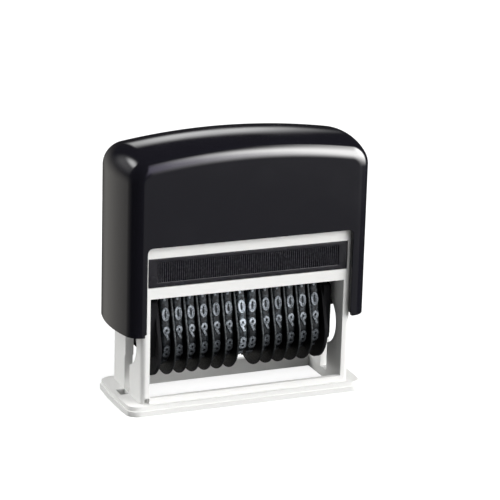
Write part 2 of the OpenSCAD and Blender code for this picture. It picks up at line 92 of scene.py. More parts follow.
def grid_faces(rows: int, columns: int, wrap_rows: bool, wrap_columns: bool) -> np.ndarray:
    """Quads between the points of a grid that is stored row by row.

    Args:
        rows: Number of rows.
        columns: Points in a row.
        wrap_rows: Whether the last row joins the first.
        wrap_columns: Whether the last point of a row joins its first.

    Returns:
        Array of faces x 4 point numbers.
    """
    row, column = np.meshgrid(np.arange(rows - (not wrap_rows)),
                              np.arange(columns - (not wrap_columns)), indexing="ij")
    next_row = (row + 1) % rows
    next_column = (column + 1) % columns
    corners = [row * columns + column, row * columns + next_column,
               next_row * columns + next_column, next_row * columns + column]
    return np.stack(corners, axis=-1).reshape(-1, 4)


@dataclass
class Skin:
    """Points in millimetres and the faces between them."""

    points: np.ndarray
    faces: list

    @classmethod
    def sweep(cls, sections: np.ndarray, closed: bool = False) -> "Skin":
        """Closed skin over a row of closed sections.

        Args:
            sections: Array of stations x section points x 3.
            closed: Whether the last section joins the first; otherwise both ends are capped.

        Returns:
            The skin.
        """
        stations, count = sections.shape[:2]
        faces = grid_faces(stations, count, closed, True).tolist()
        if not closed:
            last = (stations - 1) * count
            faces += [list(range(count))[::-1], list(range(last, last + count))]
        return cls(sections.reshape(-1, 3), faces)

    @classmethod
    def prism(cls, outline: np.ndarray, low: float, high: float, axis: int) -> "Skin":
        """Outline of two coordinates, drawn out along the third.

        Args:
            outline: Its points, count x 2.
            low: Where it starts.
            high: Where it ends.
            axis: Number of the third coordinate.

        Returns:
            The skin, capped at both ends.
        """
        others = [k for k in range(3) if k != axis]
        sections = np.zeros((2, len(outline), 3))
        sections[:, :, others] = outline
        sections[0, :, axis] = low
        sections[1, :, axis] = high
        return cls.sweep(sections)

    @classmethod
    def joined(cls, skins: Sequence["Skin"]) -> "Skin":
        """All the skins as one, each still closed.

        Args:
            skins: What to join.

        Returns:
            The skin of them all.
        """
        starts = np.cumsum([0] + [len(s.points) for s in skins[:-1]])
        faces = [[start + k for k in face] for s, start in zip(skins, starts) for face in s.faces]
        return cls(np.vstack([s.points for s in skins]), faces)


def make_mesh(name: str, skin: Skin, materials: Sequence[bpy.types.Material],
              material_index: int = 0) -> bpy.types.Object:
    """Blender object of a skin, with its normals outward.

    Args:
        name: Name of the object and its mesh.
        skin: What to make.
        materials: Its material slots.
        material_index: Slot of all the faces.

    Returns:
        The object, linked to the scene.
    """
    mesh = bpy.data.meshes.new(name)
    mesh.from_pydata((skin.points * MM).tolist(), [], skin.faces)
    for material in materials:
        mesh.materials.append(material)
    shell = bmesh.new()
    shell.from_mesh(mesh)
    bmesh.ops.recalc_face_normals(shell, faces=shell.faces)
    shell.to_mesh(mesh)
    shell.free()
    mesh.polygons.foreach_set("material_index", np.full(len(mesh.polygons), material_index))
    mesh.shade_smooth()
    piece = bpy.data.objects.new(name, mesh)
    bpy.context.scene.collection.objects.link(piece)
    return piece


def carve(piece: bpy.types.Object, tools: Sequence[bpy.types.Object]) -> None:
    """Cuts the tools out of a piece and removes them from the scene.

    Args:
        piece: What is cut.
        tools: Closed objects that are cut out, one after another.
    """
    for tool in tools:
        cut = piece.modifiers.new("cut", "BOOLEAN")
        cut.operation = "DIFFERENCE"
        cut.solver = "EXACT"
        cut.object = tool
        graph = bpy.context.evaluated_depsgraph_get()
        carved = bpy.data.meshes.new_from_object(piece.evaluated_get(graph))
        piece.modifiers.remove(cut)
        piece.data = carved
        bpy.data.objects.remove(tool)
    piece.data.name = piece.name


def soften(piece: bpy.types.Object, width: float, segments: int = 2, angle: float = 32) -> None:
    """Rounds a piece's sharp edges with modifiers and keeps its flat faces flat.

    Args:
        piece: A piece of the scene or a CAD node.
        width: Width of the rounding in millimetres.
        segments: Faces across the rounding.
        angle: Edges sharper than this many degrees are rounded.
    """
    merge = 0.002  # points closer than this become one
    weld = piece.modifiers.new("weld", "WELD")
    weld.merge_threshold = merge * MM
    bevel = piece.modifiers.new("round", "BEVEL")
    bevel.width = width * MM
    bevel.segments = segments
    bevel.limit_method = "ANGLE"
    bevel.angle_limit = radians(angle)
    bevel.use_clamp_overlap = True
    bevel.miter_outer = "MITER_ARC"
    normals = piece.modifiers.new("normals", "WEIGHTED_NORMAL")
    normals.weight = 100
    normals.keep_sharp = True
    piece.data.shade_smooth()


# ---------- materials ----------


class Graph:
    """A node tree that is written as a chain of calls."""

    def __init__(self, tree: bpy.types.NodeTree) -> None:
        """Starts on a node tree."""
        self.tree = tree

    def feed(self, node: bpy.types.Node, inputs: dict) -> None:
        """Links or sets a node's sockets.

        Args:
            node: The node.
            inputs: What goes into each socket: a number, a colour or another node's socket.
        """
        for socket, value in inputs.items():
            if isinstance(value, bpy.types.NodeSocket):
                self.tree.links.new(value, node.inputs[socket])
            else:
                node.inputs[socket].default_value = value

    def node(self, kind: str, inputs: dict | None = None, **settings: object) -> bpy.types.Node:
        """Adds a node.

        Args:
            kind: Its type, without the leading word ShaderNode.
            inputs: What goes into its sockets, as in feed.
            **settings: Its properties.

        Returns:
            The node.
        """
        made = self.tree.nodes.new(kind if kind.startswith("Node") else f"ShaderNode{kind}")
        for name, value in settings.items():
            setattr(made, name, value)
        self.feed(made, inputs or {})
        return made

    def noise(self, vector: bpy.types.NodeSocket, scale: float,
              detail: float = 2) -> bpy.types.NodeSocket:
        """Noise of about the given number of spots in a metre, from 0 to 1."""
        made = self.node("TexNoise", {"Vector": vector, "Scale": scale, "Detail": detail})
        return made.outputs["Fac"]

    def spread(self, value: bpy.types.NodeSocket, low: float, high: float, to_low: float,
               to_high: float) -> bpy.types.NodeSocket:
        """Value taken from the range low to high to the range to_low to to_high, smoothly."""
        made = self.node("MapRange", {"Value": value, "From Min": low, "From Max": high,
                                      "To Min": to_low, "To Max": to_high},
                         interpolation_type="SMOOTHSTEP")
        return made.outputs["Result"]

    def math(self, operation: str, first: Value, second: Value) -> bpy.types.NodeSocket:
        """Sum, product or another operation of two values."""
        return self.node("Math", {0: first, 1: second}, operation=operation).outputs[0]

    def mixed(self, share: Value, first: bpy.types.NodeSocket | Colour,
              second: Colour) -> bpy.types.NodeSocket:
        """Colour between two others.

        Args:
            share: Share of the second, from 0 to 1.
            first: The first: a colour or a node's socket.
            second: The second.

        Returns:
            The mixed colour.
        """
        start = (*first, 1) if isinstance(first, tuple) else first
        made = self.node("MixRGB", {"Fac": share, "Color1": start, "Color2": (*second, 1)})
        return made.outputs[0]


def effect_group(name: str, inputs: Sequence[str],
                 outputs: Sequence[str]) -> tuple[Graph, bpy.types.Node, bpy.types.Node]:
    """Empty node group for an effect that several materials share.

    Args:
        name: Name of the group.
        inputs: Names of the values that go in.
        outputs: Names of the values that come out.

    Returns:
        Its graph, its input node and its output node.
    """
    tree = bpy.data.node_groups.new(name, "ShaderNodeTree")
    for socket in inputs:
        tree.interface.new_socket(socket, in_out="INPUT", socket_type="NodeSocketFloat")
    for socket in outputs:
        tree.interface.new_socket(socket, in_out="OUTPUT", socket_type="NodeSocketFloat")
    graph = Graph(tree)
    return graph, graph.node("NodeGroupInput"), graph.node("NodeGroupOutput")


def moulded_grain() -> None:
    """Skin of a moulded part: the height of its fine texture and of its long, soft waves."""
    graph, given, out = effect_group("moulded_grain", ["Grain", "Waves"], ["Height"])
    place = graph.node("TexCoord").outputs["Object"]
    fine = graph.math("MULTIPLY", graph.noise(place, 9000, 3), given.outputs["Grain"])
    waves = graph.math("MULTIPLY", graph.noise(place, 130, 1), given.outputs["Waves"])
    graph.feed(out, {"Height": graph.math("ADD", fine, waves)})


def handling() -> None:
    """Traces of use: a mask of smudges, and one of dust that lies on upward faces."""
    graph, given, out = effect_group("handling", ["Smudge", "Dust"], ["Smudge", "Dust"])
    coordinates = graph.node("TexCoord")
    place = coordinates.outputs["Object"]
    smudge = graph.spread(graph.noise(place, 90, 4), 0.45, 0.75, 0, 1)
    upward = graph.node("SeparateXYZ", {0: coordinates.outputs["Normal"]}).outputs["Z"]
    specks = graph.spread(graph.noise(place, 5200, 2), 0.68, 0.8, 0, 1)
    dust = graph.math("MULTIPLY", specks, graph.spread(upward, 0.3, 1, 0, 1))
    graph.feed(out, {"Smudge": graph.math("MULTIPLY", smudge, given.outputs["Smudge"]),
                     "Dust": graph.math("MULTIPLY", dust, given.outputs["Dust"])})


def worn_edges() -> None:
    """Mask of the edges that stand out, broken up by noise."""
    graph, given, out = effect_group("worn_edges", ["Wear"], ["Wear"])
    place = graph.node("TexCoord").outputs["Object"]
    point = graph.node("NewGeometry").outputs["Pointiness"]
    edge = graph.spread(point, 0.52, 0.6, 0, 1)
    broken = graph.spread(graph.noise(place, 1500, 3), 0.35, 0.7, 0.2, 1)
    worn = graph.math("MULTIPLY", edge, broken)
    graph.feed(out, {"Wear": graph.math("MULTIPLY", worn, given.outputs["Wear"])})


def new_material(name: str) -> tuple[bpy.types.Material, Graph, bpy.types.Node]:
    """Material with a node tree.

    Args:
        name: Its name.

    Returns:
        The material, its graph and its shader.
    """
    material = bpy.data.materials.new(name)
    material.use_nodes = True
    return material, Graph(material.node_tree), material.node_tree.nodes["Principled BSDF"]


@dataclass(frozen=True)
class Finish:
    """A moulded or metal surface, and how strongly it shows each effect."""

    name: str
    colour: Colour
    roughness: float
    specular: float = 0.5
    grain: float = 0.02
    waves: float = 0.0
    smudge: float = 0.05
    dust: float = 0.04
    dust_colour: Colour = (0.45, 0.45, 0.44)
    wear: float = 0.1
    worn_colour: Colour = (0.12, 0.12, 0.13)
    metallic: float = 0.0

    def material(self) -> bpy.types.Material:
        """Base colour, paler where dust lies and where edges are worn, rougher under smudges.

        Returns:
            The material.
        """
        material, graph, shader = new_material(self.name)
        groups = bpy.data.node_groups
        use = graph.node("Group", {"Smudge": self.smudge, "Dust": self.dust},
                         node_tree=groups["handling"])
        edges = graph.node("Group", {"Wear": self.wear}, node_tree=groups["worn_edges"])
        skin = graph.node("Group", {"Grain": self.grain, "Waves": self.waves},
                          node_tree=groups["moulded_grain"])
        worn = graph.mixed(edges.outputs["Wear"], self.colour, self.worn_colour)
        bump = graph.node("Bump", {"Height": skin.outputs["Height"], "Distance": MM,
                                   "Strength": 1.0})
        graph.feed(shader, {
            "Metallic": self.metallic,
            "Specular IOR Level": self.specular,
            "Base Color": graph.mixed(use.outputs["Dust"], worn, self.dust_colour),
            "Roughness": graph.math("ADD", use.outputs["Smudge"], self.roughness),
            "Normal": bump.outputs[0],
        })
        return material


@dataclass(frozen=True)
class InkedRubber:
    """Rubber of the bands: nearly black, with grey figures and an ink film on and round them.

    The mesh says how far a point belongs to a figure in its attribute figure, from 0 on the
    band to 1 on a figure's face, and in its attribute wear how worn the band is, times a
    painted shade that darkens the figures and the film lower down the loop.
    """

    name: str = "band_rubber"
    colour: Colour = (0.005, 0.006, 0.007)
    film_colour: Colour = (0.10, 0.12, 0.135)
    figure_colour: Colour = (0.62, 0.68, 0.75)
    specular: float = 0.12
    grain: float = 0.02

    def material(self) -> bpy.types.Material:
        """Blotches of figure colour on the faces, and patches of film all round.

        Returns:
            The material.
        """
        material, graph, shader = new_material(self.name)
        place = graph.node("TexCoord").outputs["Object"]
        figure = graph.node("Attribute", attribute_name="figure").outputs["Fac"]
        # wear holds the band's own wear times a painted shade that dims figures and film lower down
        wear = graph.node("Attribute", attribute_name="wear").outputs["Fac"]
        blotch = graph.spread(graph.noise(place, 2600, 3), 0.35, 0.65, 0.3, 1)
        face = graph.math("MULTIPLY", graph.math("MULTIPLY", figure, blotch), wear)
        patches = graph.spread(graph.noise(place, 1500, 4), 0.42, 0.68, 0, 0.7)
        film = graph.math("MULTIPLY", patches, wear)
        bump = graph.node("Bump", {"Height": graph.noise(place, 9000, 2),
                                   "Distance": self.grain * MM})
        graph.feed(shader, {
            "Specular IOR Level": self.specular,
            "Base Color": graph.mixed(face, graph.mixed(film, self.colour, self.film_colour),
                                      self.figure_colour),
            "Roughness": graph.spread(graph.noise(place, 3000, 2), 0.3, 0.7, 0.34, 0.5),
            "Normal": bump.outputs[0],
        })
        return material


@dataclass(frozen=True)
class DividerPlastic:
    """Black plastic of the dividers, with paler rims: a painted highlight, stronger higher up."""

    name: str = "divider_black"
    colour: Colour = (0.004, 0.0045, 0.005)
    # colour of the painted highlight on the rims
    rim_highlight_colour: Colour = (0.085, 0.095, 0.1)
    specular: float = 0.1
    highlight_low_z: float = 9.0
    highlight_high_z: float = 22.0

    def material(self) -> bpy.types.Material:
        """A rim is told from the flat sides by its normal, which doesn't point along X; the painted
        highlight on it is weak below highlight_low_z and full above highlight_high_z.

        Returns:
            The material.
        """
        material, graph, shader = new_material(self.name)
        coordinates = graph.node("TexCoord")
        place = coordinates.outputs["Object"]
        along = graph.node("SeparateXYZ", {0: coordinates.outputs["Normal"]}).outputs["X"]
        rim = graph.spread(graph.math("ABSOLUTE", along, 0), 0.55, 0.9, 1, 0)
        height = graph.node("SeparateXYZ", {0: place}).outputs["Z"]
        reach = graph.spread(height, self.highlight_low_z * MM, self.highlight_high_z * MM, 0.15, 1)
        blotch = graph.spread(graph.noise(place, 1800, 3), 0.35, 0.65, 0.2, 1)
        # painted highlight: paler rims standing in for the light they catch, stronger higher up
        painted_highlight = graph.math("MULTIPLY", graph.math("MULTIPLY", rim, reach), blotch)
        graph.feed(shader, {
            "Specular IOR Level": self.specular,
            "Base Color": graph.mixed(painted_highlight, self.colour, self.rim_highlight_colour),
            "Roughness": graph.spread(graph.noise(place, 2500, 2), 0.3, 0.7, 0.35, 0.55),
        })
        return material


@dataclass(frozen=True)
class InkedFelt:
    """Felt soaked in black ink: matt, fibrous, with wetter patches."""

    name: str = "felt"
    colour: Colour = (0.006, 0.006, 0.008)
    fibre_colour: Colour = (0.022, 0.022, 0.028)
    sheen: float = 0.25
    fibre_height: float = 0.1
    dry_roughness: float = 0.85
    wet_roughness: float = 0.5

    def material(self) -> bpy.types.Material:
        """Noise drawn out along X for the fibres, and broad noise for the wet patches.

        Returns:
            The material.
        """
        material, graph, shader = new_material(self.name)
        place = graph.node("TexCoord").outputs["Object"]
        stretched = graph.node("Mapping", {"Vector": place, "Scale": (1, 3, 1)}).outputs[0]
        fibres = graph.noise(stretched, 3500, 6)
        wet = graph.spread(graph.noise(place, 300, 2), 0.4, 0.6, 0, 1)
        bump = graph.node("Bump", {"Height": fibres, "Distance": self.fibre_height * MM})
        graph.feed(shader, {
            "Sheen Weight": self.sheen,
            "Base Color": graph.mixed(fibres, self.colour, self.fibre_colour),
            "Roughness": graph.spread(wet, 0, 1, self.dry_roughness, self.wet_roughness),
            "Normal": bump.outputs[0],
        })
        return material


class Finishes(Enum):
    """The surfaces of the stamp."""

    COVER = Finish("gloss_black", (0.0075, 0.0072, 0.0105), 0.09, specular=0.42, grain=0.0,
                   waves=0.02, smudge=0.05, dust=0.012, wear=0.0)
    COVER_INSIDE = Finish("inner_black", (0.012, 0.012, 0.013), 0.5, grain=0.05)
    PAD = Finish("pad_black", (0.008, 0.0075, 0.0105), 0.24, specular=0.2, grain=0.04, wear=0.25,
                 worn_colour=(0.10, 0.10, 0.115))
    FRAME = Finish("white_frame", (0.78, 0.78, 0.765), 0.42, specular=0.15, grain=0.03, dust=0.0,
                   wear=0.0, smudge=0.08)
    WHEEL = Finish("wheel_grey", (0.012, 0.0125, 0.013), 0.45, specular=0.12)
    PLATE = Finish("plate_black", (0.01, 0.01, 0.011), 0.6, specular=0.04, grain=0.03)
    STEEL = Finish("shaft_steel", (0.55, 0.56, 0.58), 0.28, metallic=1.0, grain=0.02, dust=0.0)
    SPRING = Finish("spring_steel", (0.45, 0.46, 0.48), 0.32, metallic=1.0, grain=0.02, dust=0.0)
    RUBBER = InkedRubber()
    DIVIDER = DividerPlastic()
    FELT = InkedFelt()


def make_materials() -> dict[str, bpy.types.Material]:
    """The shared effects and every material.

    Returns:
        The materials by name.
    """
    moulded_grain()
    handling()
    worn_edges()
    return {item.value.name: item.value.material() for item in Finishes}


# ---------- the cover ----------


@dataclass
class PressCover:
    """The press cover: a rounded strip over an arch, hollow, with a window front and back."""

    low: Vector
    high: Vector
    crown_r: float = 160
    shoulder_r: float = 6.4
    edge_r: float = 3.5
    edge_tilt: float = 14.9
    wall: float = 1.3
    face_wall: float = 1.2
    window_half_w: float = 25.2
    window_top: float = 39.7
    window_corner_r: float = 1.2
    notch_w: float = 0.4
    notch_h: float = 0.75
    spring_x: float = 13.0
    ring_in: float = 3.2
    ring_out: float = 4.0
    ring_low: float = 56.9
    rib_x: float = 19.0
    rib_half_w: float = 0.8
    rib_half_d: float = 4.0
    rib_low: float = 58.0
    beyond: float = 2.0
    rounding: float = 0.14
    shoulder_points: int = 28
    top_points: int = 24
    edge_points: int = 16
    middle_points: int = 18

    def arch(self, low_z: float) -> np.ndarray:
        """Stations of the arch, from the left rim over the top to the right rim.

        Each side is an upright line, the shoulder is an arc of shoulder_r and the top an
        arc of crown_r, all in one tangent run.

        Args:
            low_z: Height where both sides end.

        Returns:
            Array of stations x (x, z, direction of the normal in radians).
        """
        end_x = self.high.x
        centre_x = end_x - self.shoulder_r
        top_centre_z = self.high.z - self.crown_r
        centre_z = top_centre_z + sqrt((self.crown_r - self.shoulder_r) ** 2 - centre_x ** 2)
        join = atan2(centre_z - top_centre_z, centre_x)
        side = np.array([[end_x, low_z, 0]])
        turns = np.linspace(0, join, self.shoulder_points)
        shoulder = np.column_stack([centre_x + self.shoulder_r * np.cos(turns),
                                    centre_z + self.shoulder_r * np.sin(turns), turns])
        turns = np.linspace(join, pi / 2, self.top_points)[1:]
        top = np.column_stack([self.crown_r * np.cos(turns),
                               top_centre_z + self.crown_r * np.sin(turns), turns])
        right = np.vstack([side, shoulder, top])
        left = right * [-1, 1, -1] + [0, 0, pi]
        return np.vstack([left, right[-2::-1]])

    def section(self, half_d: float, r: float, inset: float) -> np.ndarray:
        """Section of the strip: y and the depth under the arch, from front to back.

        The middle is the parabola b (y / y1)^2, which meets the edge's arc of radius r at
        y1, where both have the slope tan(edge_tilt).

        Args:
            half_d: Half the depth.
            r: Radius of the edges.
            inset: Depth of the middle under the arch.

        Returns:
            Array of section points x 2.
        """
        tilt = radians(self.edge_tilt)
        join_y = half_d - r * (1 - sin(tilt))
        bulge = join_y * tan(tilt) / 2
        turns = np.linspace(tilt, pi / 2, self.edge_points)
        edge = np.column_stack([half_d - r + r * np.sin(turns),
                                inset + bulge + r * (cos(tilt) - np.cos(turns))])
        y = np.linspace(-join_y, join_y, self.middle_points)[1:-1]
        middle = np.column_stack([y, inset + bulge * (y / join_y) ** 2])
        return np.vstack([(edge * [-1, 1])[::-1], middle, edge])

    def solid(self, half_d: float, r: float, inset: float, low_z: float) -> Skin:
        """The strip over the arch as a closed solid, flat below and at front and back.

        Args:
            half_d: Half its depth.
            r: Radius of its edges.
            inset: Depth of its middle under the arch.
            low_z: Height where it ends.

        Returns:
            The skin.
        """
        stations = self.arch(low_z)
        section = self.section(half_d, r, inset)
        x, z, turn = (stations[:, k, None] for k in range(3))
        y, depth = section[:, 0], section[:, 1]
        points = np.stack([x - depth * np.cos(turn), y + 0 * x, z - depth * np.sin(turn)], axis=-1)
        rows, columns = points.shape[:2]
        faces = grid_faces(rows, columns, False, False).tolist()
        faces.append([k * columns for k in range(rows)])
        faces.append([k * columns + columns - 1 for k in range(rows)][::-1])
        last_row = range((rows - 1) * columns, rows * columns)
        faces.append([0, *last_row, *range(columns - 1, 0, -1)])
        return Skin(points.reshape(-1, 3), faces)

    def window(self) -> Skin:
        """What is cut out at front and back, with round upper corners and a wider foot.

        Returns:
            The skin of the cutting tool.
        """
        half_w, r = self.window_half_w, self.window_corner_r
        foot = half_w + self.notch_w
        notch_z = self.low.z + self.notch_h
        right = np.vstack([[[foot, self.low.z - self.beyond], [foot, notch_z],
                            [half_w, notch_z]],
                           arc((half_w - r, self.window_top - r), (r, r), 0, 90, 9)])
        outline = np.vstack([right, (right * [-1, 1])[::-1]])
        return Skin.prism(outline, self.low.y - self.beyond, self.high.y + self.beyond, axis=1)

    def fittings(self) -> list[Skin]:
        """Rings under the roof that hold the return springs, and ribs that press on the yoke.

        Each reaches half a wall into the roof, which lies x^2 / (2 crown_r) lower at x than in
        the middle.

        Returns:
            Their skins.
        """
        roots = self.high.z - self.wall / 2
        skins = []
        for side in (-1, 1):
            top = roots - self.spring_x ** 2 / (2 * self.crown_r)
            turns = np.radians(np.arange(0, 360, 7.5))
            corners = [(self.ring_in, self.ring_low), (self.ring_out, self.ring_low),
                       (self.ring_out, top), (self.ring_in, top)]
            ring = np.stack([np.column_stack([side * self.spring_x + r * np.cos(turns),
                                              r * np.sin(turns), z + 0 * turns])
                             for r, z in corners], axis=1)
            skins.append(Skin.sweep(ring, closed=True))
            half_w, half_d = self.rib_half_w, self.rib_half_d
            rib = np.array([[-half_w, -half_d], [half_w, -half_d],
                            [half_w, half_d], [-half_w, half_d]])
            top = roots - self.rib_x ** 2 / (2 * self.crown_r)
            skins.append(Skin.prism(rib + [side * self.rib_x, 0], self.rib_low, top, axis=2))
        return skins

    def build(self, outside: bpy.types.Material,
              inside: bpy.types.Material) -> list[bpy.types.Object]:
        """The cover, glossy outside and matt inside.

        Args:
            outside: Material of the outer faces.
            inside: Material of the inner faces and of the fittings.

        Returns:
            The shell and the fittings under its roof.
        """
        half_d = self.high.y
        piece = make_mesh("cover_shell", self.solid(half_d, self.edge_r, 0, self.low.z),
                          [outside, inside])
        hollow = self.solid(half_d - self.face_wall, self.edge_r - self.face_wall, self.wall,
                            self.low.z - self.beyond / 2)
        carve(piece, [make_mesh("hollow", hollow, [outside, inside], 1),
                      make_mesh("window", self.window(), [outside, inside], 0)])
        fittings = make_mesh("cover_fittings", Skin.joined(self.fittings()), [inside])
        soften(piece, self.rounding)
        return [piece, fittings]


# ---------- the number bands ----------


@dataclass(frozen=True)
class LoopPath:
    """Closed path of a band in (y, z): round the wheel, straight up and over the head.

    A place on it is its distance s from the foot of the wheel, up the front.
    """

    wheel_z: float
    wheel_r: float
    top_z: float
    half_d: float = 3.6
    corner_r: float = 1.4

    def runs(self) -> list[tuple[float, float, np.ndarray, float]]:
        """The front runs: round the wheel, up to the head, round its corner and over it.

        Returns:
            Length, radius (0 when straight), start or centre, and first angle of each run.
        """
        corner = np.array([self.half_d - self.corner_r, self.top_z - self.corner_r])
        rise = corner[1] - self.wheel_z
        reach = hypot(corner[0], rise)
        lean = atan2(rise, corner[0]) - acos((self.wheel_r - self.corner_r) / reach)
        straight = sqrt(reach ** 2 - (self.wheel_r - self.corner_r) ** 2)
        wheel = np.array([0, self.wheel_z])
        touch = wheel + self.wheel_r * np.array([cos(lean), sin(lean)])
        return [
            (self.wheel_r * (pi / 2 + lean), self.wheel_r, wheel, -pi / 2),
            (straight, 0.0, touch, lean),
            (self.corner_r * (pi / 2 - lean), self.corner_r, corner, lean),
            (corner[0], 0.0, np.array([corner[0], self.top_z]), pi / 2),
        ]

    @property
    def length(self) -> float:
        """Length of the whole loop."""
        return 2 * sum(run[0] for run in self.runs())

    def place(self, s: np.ndarray, height: np.ndarray) -> np.ndarray:
        """Points at the distances s, lifted off the path.

        Args:
            s: Distances along the path; they may run past its end.
            height: How far each point stands out of the path.

        Returns:
            Array of the shape of s, with y and z as its last axis.
        """
        reach = 1e-9  # takes in the points where two runs meet
        s = np.mod(s, self.length)
        back = s > self.length / 2
        along = np.where(back, self.length - s, s)
        points = np.zeros(s.shape + (2,))
        start = 0.0
        for length, radius, origin, angle in self.runs():
            here = (along >= start - reach) & (along <= start + length + reach)
            local = along - start
            turn = angle + (local / radius if radius else 0 * local)
            outward = np.stack([np.cos(turn), np.sin(turn)], axis=-1)
            if radius:
                found = origin + (radius + height)[..., None] * outward
            else:
                forward = np.array([-sin(angle), cos(angle)])
                found = origin + local[..., None] * forward + height[..., None] * outward
            points = np.where(here[..., None], found, points)
            start += length
        points[..., 0] = np.where(back, points[..., 0], -points[..., 0])
        return points


def strokes_of(figure: int) -> list[np.ndarray]:
    """Centre lines of a figure's strokes, in a box from -1 to 1 each way.

    Args:
        figure: The figure, from 0 to 9.

    Returns:
        An array of points x 2 for each stroke.
    """
    def line(*points: tuple[float, float]) -> np.ndarray:
        """Straight stretches between the points, five steps each."""
        stretches = [np.linspace(a, b, 6)[:-1] for a, b in zip(points, points[1:])]
        return np.vstack([*stretches, points[-1:]])

    drawn = {
        0: [arc((0, 0), (1, 1), 0, 360, 33), arc((-0.15, -0.12), (0.68, 0.75), 120, 300, 17)],
        1: [line((-0.7, 0.55), (0.15, 1), (0.15, -1))],
        2: [np.vstack([arc((0, 0.45), (1, 0.55), 170, -25, 14),
                       line((0.9, 0.2), (-1, -1), (1, -1))])],
        3: [arc((0, 0.5), (0.9, 0.5), 150, -90, 16), arc((0, -0.5), (1, 0.5), 90, -150, 16)],
        4: [line((0.4, -1), (0.4, 1), (-1, -0.4), (1, -0.4))],
        5: [np.vstack([line((0.9, 1), (-0.7, 1), (-0.8, 0.15)),
                       arc((0, -0.35), (1, 0.65), 130, -150, 16)])],
        6: [arc((0, -0.5), (0.85, 0.5), 0, 360, 25), line((-0.82, -0.35), (0.6, 1.15))],
        7: [line((-1, 1), (1, 1), (-0.2, -1))],
        8: [arc((0, 0.52), (0.85, 0.48), 0, 360, 25), arc((0, -0.48), (1, 0.52), 0, 360, 25)],
        9: [arc((0, 0.5), (0.85, 0.5), 0, 360, 25), line((0.82, 0.35), (-0.6, -1.15))],
    }
    return drawn[figure]


@dataclass
class NumberBands:
    """The row of rubber bands, each with its raised figures.

    A band has a number of positions, and its figures start at first_position, shift from the
    middle of it. painted_shade_by_height is a painted shade that darkens the figures and the
    ink film lower down the loop, and lean says how much of a band's slip along its wheel shows
    there: heights first, then values.
    """

    path: LoopPath
    width: float = 2.2
    wall: float = 0.75
    relief: float = 0.3
    shoulder: tuple[float, float] = (0.6, 0.5)
    positions: int = 13
    first_position: int = 2
    shift: float = 1.65
    figure_half_w: float = 0.62
    figure_half_h: float = 1.27
    stroke_foot: float = 0.36
    stroke_face: float = 0.25
    sunk: float = 0.16
    foot: float = 0.1
    loop_points: int = 180
    sharp_angle: float = 50
    # painted shade: heights in millimetres, and how much of the figures' and film's colour shows
    # there
    painted_shade_by_height: tuple[Sequence[float], Sequence[float]] = ((8, 11, 16, 19), (0.03, 0.15, 0.4, 1.0))
    lean: tuple[Sequence[float], Sequence[float]] = ((9, 13, 20, 25), (0.6, 1.0, 0.8, 0.0))

    def loop(self) -> Skin:
        """The band itself: a section with broad round shoulders, carried round the path.

        Returns:
            The closed skin.
        """
        half_w, (a, b), foot = self.width / 2, self.shoulder, self.foot
        corners = [(half_w - a, -b, a, b, 0, 9), (a - half_w, -b, a, b, 90, 9),
                   (foot - half_w, foot - self.wall, foot, foot, 180, 3),
                   (half_w - foot, foot - self.wall, foot, foot, 270, 3)]
        section = np.vstack([arc((x, h), (rx, ry), turn, turn + 90, count)
                             for x, h, rx, ry, turn, count in corners])
        s = np.linspace(0, self.path.length, self.loop_points + 1)[:-1]
        s, height = np.meshgrid(s, section[:, 1], indexing="ij")
        place = self.path.place(s, height)
        x = np.broadcast_to(section[:, 0], s.shape)
        return Skin.sweep(np.concatenate([x[..., None], place], axis=-1), closed=True)

    def stroke(self, line: np.ndarray, middle: float) -> Skin:
        """One raised stroke, mirrored: a trapezoid carried along its line, bent round the path.

        Args:
            line: Centre line in the figure's own box.
            middle: Distance along the path of the figure's middle.

        Returns:
            The closed skin.
        """
        across, up = -line[:, 0] * self.figure_half_w, line[:, 1] * self.figure_half_h
        flat = np.column_stack([across, up])
        closed = bool(np.allclose(flat[0], flat[-1]))
        if closed:
            flat = flat[:-1]
            ahead = np.roll(flat, -1, axis=0) - np.roll(flat, 1, axis=0)
        else:
            ahead = np.gradient(flat, axis=0)
        ahead /= np.linalg.norm(ahead, axis=1, keepdims=True)
        aside = ahead[:, ::-1] * [1, -1]
        foot, face = self.stroke_foot, self.stroke_face
        offsets = np.array([-foot, -face, face, foot])
        heights = np.array([-self.sunk, self.relief, self.relief, -self.sunk])
        spots = flat[:, None, :] + offsets[None, :, None] * aside[:, None, :]
        place = self.path.place(middle + spots[..., 1], np.broadcast_to(heights, spots.shape[:2]))
        return Skin.sweep(np.concatenate([spots[..., :1], place], axis=-1), closed=closed)

    def figures(self) -> Skin:
        """The ten figures, which count down from 1 at the first position below the head.

        Returns:
            The skin of all their strokes.
        """
        pitch = self.path.length / self.positions
        skins = []
        for k in range(10):
            middle = self.path.length / 2 - (self.first_position + k) * pitch + self.shift
            skins += [self.stroke(line, middle) for line in strokes_of((1 - k) % 10)]
        return Skin.joined(skins)

    def build(self, number: int, x: float, wear: float, aside: float,
              rubber: bpy.types.Material) -> bpy.types.Object:
        """Band of a given number.

        Args:
            number: Its place in the row, from 1.
            x: Where its middle lies along the row.
            wear: How pale its figures are.
            aside: How far it has slipped along its wheel.
            rubber: Its material.

        Returns:
            The piece.
        """
        loop, figures = self.loop(), self.figures()
        skin = Skin.joined([loop, figures])
        skin.points[:, 0] += x + aside * np.interp(skin.points[:, 2], *self.lean)
        piece = make_mesh(f"number_band_{number:02d}", skin, [rubber])
        lifted = np.zeros(len(skin.points), np.float32)
        corner = np.arange(len(figures.points)) % 4
        lifted[len(loop.points):] = (corner == 1) | (corner == 2)
        piece.data.attributes.new("figure", "FLOAT", "POINT").data.foreach_set("value", lifted)
        # painted shade: figures and film are dimmed lower down the loop, where less light falls;
        # wear is the band's own wear
        under = np.interp(skin.points[:, 2], *self.painted_shade_by_height)
        worn = (wear * under).astype(np.float32)
        piece.data.attributes.new("wear", "FLOAT", "POINT").data.foreach_set("value", worn)
        piece.data.set_sharp_from_angle(angle=radians(self.sharp_angle))
        return piece


# ---------- pad and springs ----------


